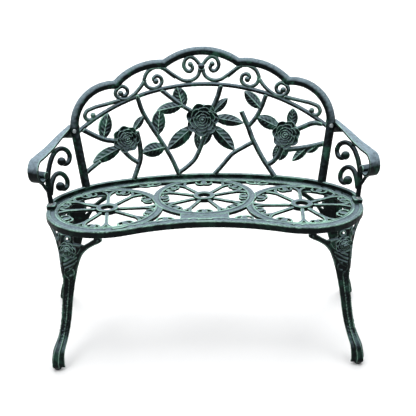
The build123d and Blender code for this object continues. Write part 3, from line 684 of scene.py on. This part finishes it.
def wing_art(heading, rake, way, turn):
    """Leaves, a curl and rings cast on one wing round its rose."""
    def at(aside, height, lift=1.0):
        return on_wing(heading, rake, way, turn, aside, height, lift)

    def stroke(route, radius, end=None):
        return tube(softened([at(*point) for point in route], 3), radius * MM, end_radius=end and end * MM)

    art = [
        stroke([(6, 318), (18, 322), (34, 334), (46, 342)], 3.4, 1.6),
        stroke([(8, 306), (20, 312), (34, 318), (44, 330)], 3.2, 1.6),
        stroke([(8, 330), (20, 336), (32, 345), (44, 352)], 3.0, 1.5),
        stroke([(8, 300), (18, 306), (30, 304), (36, 294), (30, 284), (20, 282)], 2.8, 2.0),
        stroke([(8, 300), (6, 290), (10, 280), (18, 270)], 2.8, 1.4),
        stroke([(14, 392), (14, 386), (20, 384)], 2.6),
        stroke([(30, 378), (44, 381), (58, 377)], 3.0, 2.4),
        stroke([(34, 348), (36, 362), (34, 376)], 2.4),
        stroke([(22, 389), (14, 392), (14, 402), (22, 405), (30, 402), (30, 392), (22, 389)], 2.2),
    ]
    art.append(stroke([(10, 296, 1.5), (26, 305, 2.5), (34, 318, 1.5)], 2.4, 1.2))
    return art


for side, way in (("left", -1), ("right", 1)):
    for row, heading, rake in (("front", FRONT_LEG_ANGLE, 0.0), ("rear", REAR_LEG_ANGLE, REAR_RAKE)):
        art = wing_art(heading, rake, way, 1) + wing_art(heading, rake, way, -1)
        casting(row + "_leg_" + side, art, LEG_PATINA_SHEEN, 0.0016, 1, leg_relief(heading, rake, way))
        corner = KNEE_REACH + rake * (1 - KNEE_HEIGHT / LEG_TOP)
        turn = copysign(1, heading)
        wing = heading + turn * (pi - KNEE_WING)
        facing = heading + turn * KNEE_TURN
        plan_x = LOBE[0] + corner * cos(heading) + KNEE_ASIDE * cos(wing) + 0.003 * cos(facing)
        plan_y = LOBE[1] + corner * sin(heading) + KNEE_ASIDE * sin(wing) + 0.003 * sin(facing)
        centre = Vector((way * plan_x, HUB_Y + plan_y, KNEE_HEIGHT))
        outward = Vector((way * cos(facing), sin(facing), 0))
        place = frame_at(centre, Vector((-outward.y, outward.x, 0)), outward)
        petals = rose(place, KNEE_ROSE, KNEE_ROSE * 0.42, 1.0)
        casting(row + "_leg_rose_" + side, [petals], LEG_ROSE_PATINA_SHEEN, 0.0010, 1)


# ---- fasteners and feet -------------------------------------------------------------------
def machined(node, material, bevel):
    """Bolts, nuts, washers and foot pads keep their exact shape and gain broken edges."""
    mesh = bpy.data.meshes.new(node + "_made")
    points, faces = node_shape(node)
    mesh.from_pydata([tuple(point) for point in points], [], faces)
    holder = bpy.data.objects.new(node + "_holder", mesh)
    bpy.context.scene.collection.objects.link(holder)
    weld = holder.modifiers.new("weld", "WELD")
    weld.merge_threshold = 0.00001
    edge = holder.modifiers.new("edge", "BEVEL")
    edge.width = bevel
    edge.segments = 2
    edge.limit_method = "ANGLE"
    edge.angle_limit = radians(35)
    graph = bpy.context.evaluated_depsgraph_get()
    made = bpy.data.meshes.new_from_object(holder.evaluated_get(graph))
    made.name = node + "_made"
    bpy.data.objects.remove(holder)
    piece = finished(node + "_made", made, material, [node])
    normals = piece.modifiers.new("normals", "WEIGHTED_NORMAL")
    normals.keep_sharp = True
    return piece


for node in ("leg_bolts", "arm_foot_bolts", "arm_foot_nuts", "arm_foot_washers", "arm_top_bolts",
             "arm_top_nuts", "rail_screws"):
    machined(node, BOLT_STEEL, 0.0004)
machined("foot_glides", FOOT_PLASTIC, 0.0006)


# ---- floor, light and camera --------------------------------------------------------------
def studio():
    """Plain pale floor that sweeps up behind the bench."""
    width, front, back, height, bend = 60.0, -30.0, 5.0, 6.0, 1.6
    profile = [(front, 0.0), (back - bend, 0.0)]
    for step in range(1, 13):
        a = pi / 2 * step / 12
        profile.append((back - bend + bend * sin(a), bend - bend * cos(a)))
    profile.append((back, height))
    points = [(x, y, z) for y, z in profile for x in (-width / 2, width / 2)]
    faces = [(2 * i, 2 * i + 1, 2 * i + 3, 2 * i + 2) for i in range(len(profile) - 1)]
    mesh = bpy.data.meshes.new("studio_floor")
    mesh.from_pydata(points, [], faces)
    mesh.shade_smooth()
    floor = bpy.data.objects.new("studio_floor", mesh)
    bpy.context.scene.collection.objects.link(floor)
    paint = bpy.data.materials.new("studio_paint")
    paint.use_nodes = True
    tree = paint.node_tree
    shader = tree.nodes["Principled BSDF"]
    shader.inputs["Base Color"].default_value = (0.86, 0.86, 0.86, 1)
    coordinates = tree.nodes.new("ShaderNodeTexCoord")
    drift = noise_node(tree, coordinates, 3.0)
    rough = span_node(tree, drift, 0, 0.3, 0.7, 0.85, 0.95)
    link(tree, rough, 0, shader, "Roughness")
    mesh.materials.append(paint)


def lamp(name, place, target, size, power):
    data = bpy.data.lights.new(name, "AREA")
    data.shape = "RECTANGLE"
    data.size = size[0]
    data.size_y = size[1]
    data.energy = power
    light = bpy.data.objects.new(name, data)
    light.location = place
    light.rotation_euler = (Vector(target) - Vector(place)).to_track_quat("-Z", "Y").to_euler()
    bpy.context.scene.collection.objects.link(light)


studio()
lamp("overhead", (0.0, 0.3, 3.2), (0, 0.0, 0.4), (3.4, 2.6), 120)
lamp("front_key", (-1.6, -2.6, 3.0), (0, 0, 0.5), (1.4, 1.4), 30)
lamp("back_wash", (0.0, 2.4, 3.4), (0, 4.8, 1.2), (5.0, 1.2), 190)
bpy.context.scene.view_settings.view_transform = "Standard"
world = bpy.data.worlds.new("studio_air")
world.use_nodes = True
world.node_tree.nodes["Background"].inputs["Color"].default_value = (0.96, 0.98, 1.0, 1)
world.node_tree.nodes["Background"].inputs["Strength"].default_value = 0.50
bpy.context.scene.world = world

yaw, pitch, roll = -0.00476, -0.38618, -0.02318
forward = Vector((sin(yaw) * cos(pitch), cos(yaw) * cos(pitch), sin(pitch)))
level = Vector((cos(yaw), -sin(yaw), 0))
upright = level.cross(forward)
right = level * cos(roll) + upright * sin(roll)
above = upright * cos(roll) - level * sin(roll)
lens = bpy.data.cameras.new("camera")
lens.sensor_width = 36
lens.lens = 54.88
lens.shift_x = 0.0194
lens.shift_y = -0.0008
camera = bpy.data.objects.new("camera", lens)
camera.matrix_world = Matrix.Translation((-0.0051, HUB_Y - 1.750, 1.1310)) @ Matrix(
    (right, above, -forward)).transposed().to_4x4()
bpy.context.scene.collection.objects.link(camera)
bpy.context.scene.camera = camera
